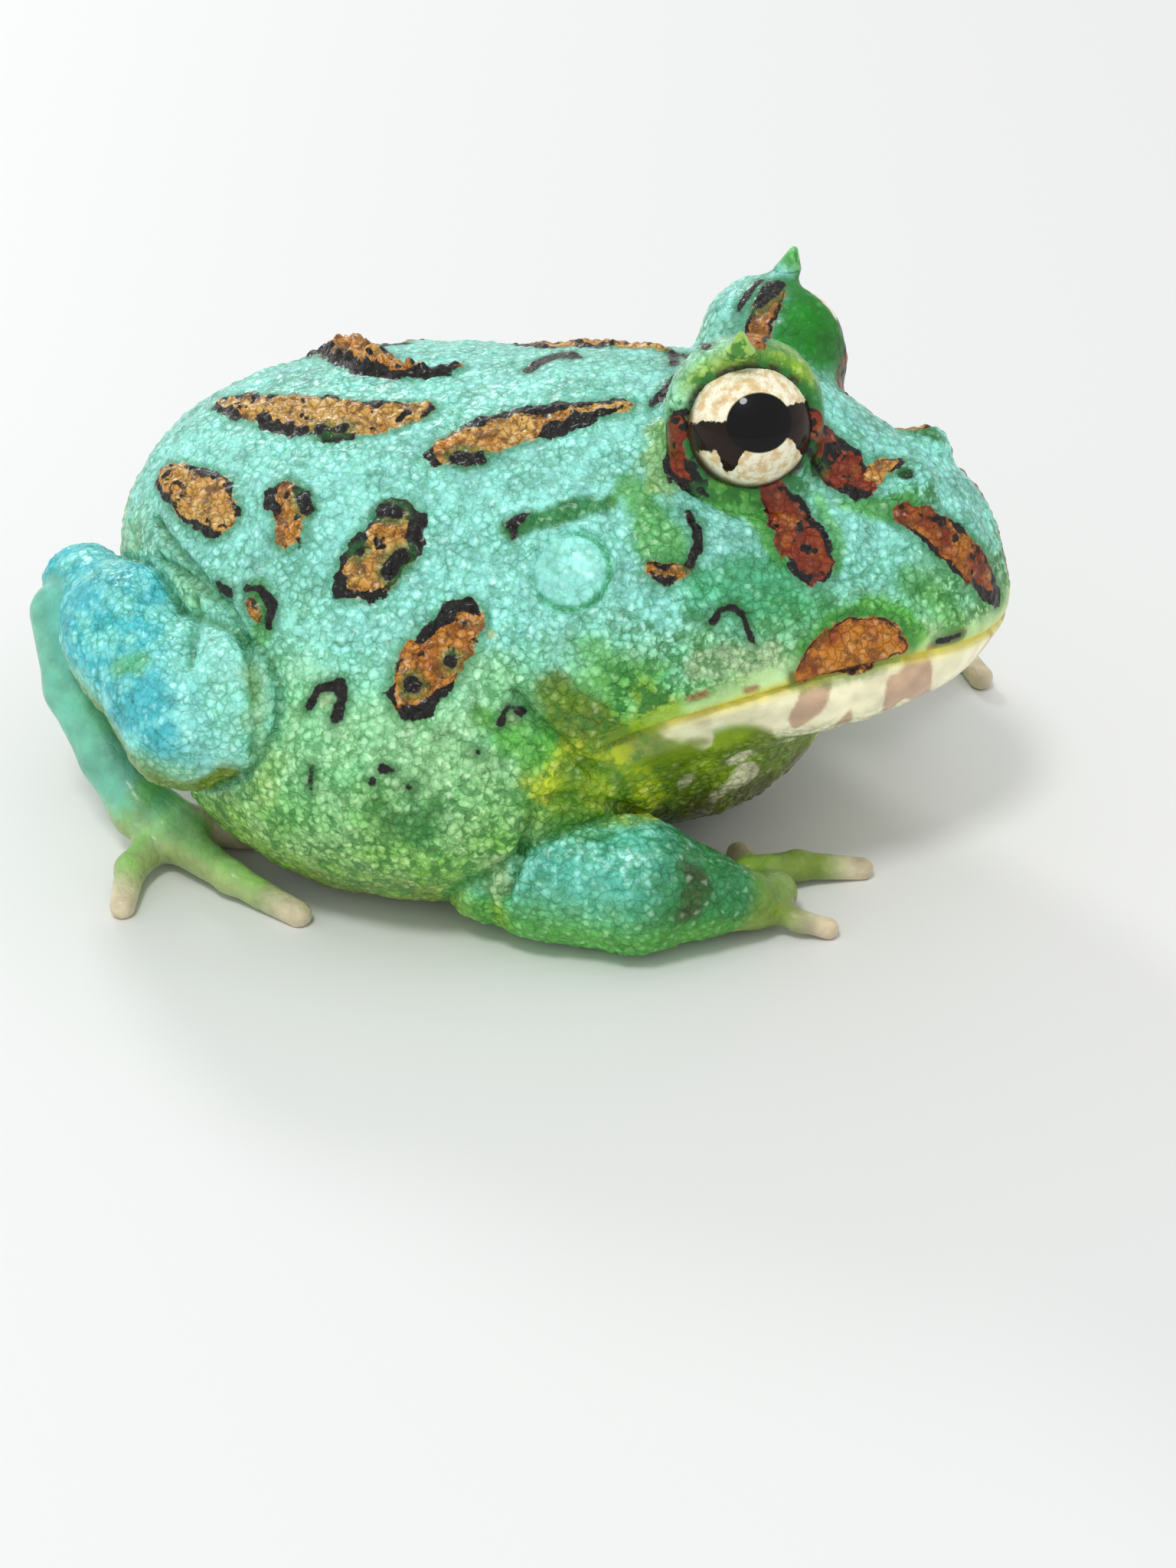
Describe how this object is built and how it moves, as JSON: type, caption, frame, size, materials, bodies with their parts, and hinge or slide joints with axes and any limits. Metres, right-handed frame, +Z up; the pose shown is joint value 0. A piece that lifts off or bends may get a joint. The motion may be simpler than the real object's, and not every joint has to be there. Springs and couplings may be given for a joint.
{
  "type": "horned frog",
  "caption": "Life-size sitting horned frog with a broad head, raised eyes under small pointed lid horns, a wide mouth and folded legs.",
  "frame": {"origin": "middle of the model's bounding box, on the floor it sits on", "axes": "+X towards the snout, +Y to the animal's left, +Z up"},
  "size_m": [0.0616, 0.0482, 0.0369],
  "materials": {
    "skin": "moist, finely pebbled, turquoise and green with tan spots",
    "digits": "moist, smooth, green with pale tips",
    "throat": "moist, cream with brown marks",
    "horn": "soft lid tip, green",
    "eye": "wet, gold and cream iris with a black band"
  },
  "bodies": {
    "root": {"torso": "skin", "head": "skin", "upper_arm_right": "skin", "upper_arm_left": "skin", "forearm_right": "skin", "forearm_left": "skin", "thigh_right": "skin", "thigh_left": "skin", "shank_right": "skin", "shank_left": "skin", "hand_right": "digits", "hand_left": "digits", "foot_right": "digits", "foot_left": "digits", "jaw": "throat", "horn_right": "horn", "horn_left": "horn", "eye_right": "eye", "eye_left": "eye"}
  },
  "joints": []
}
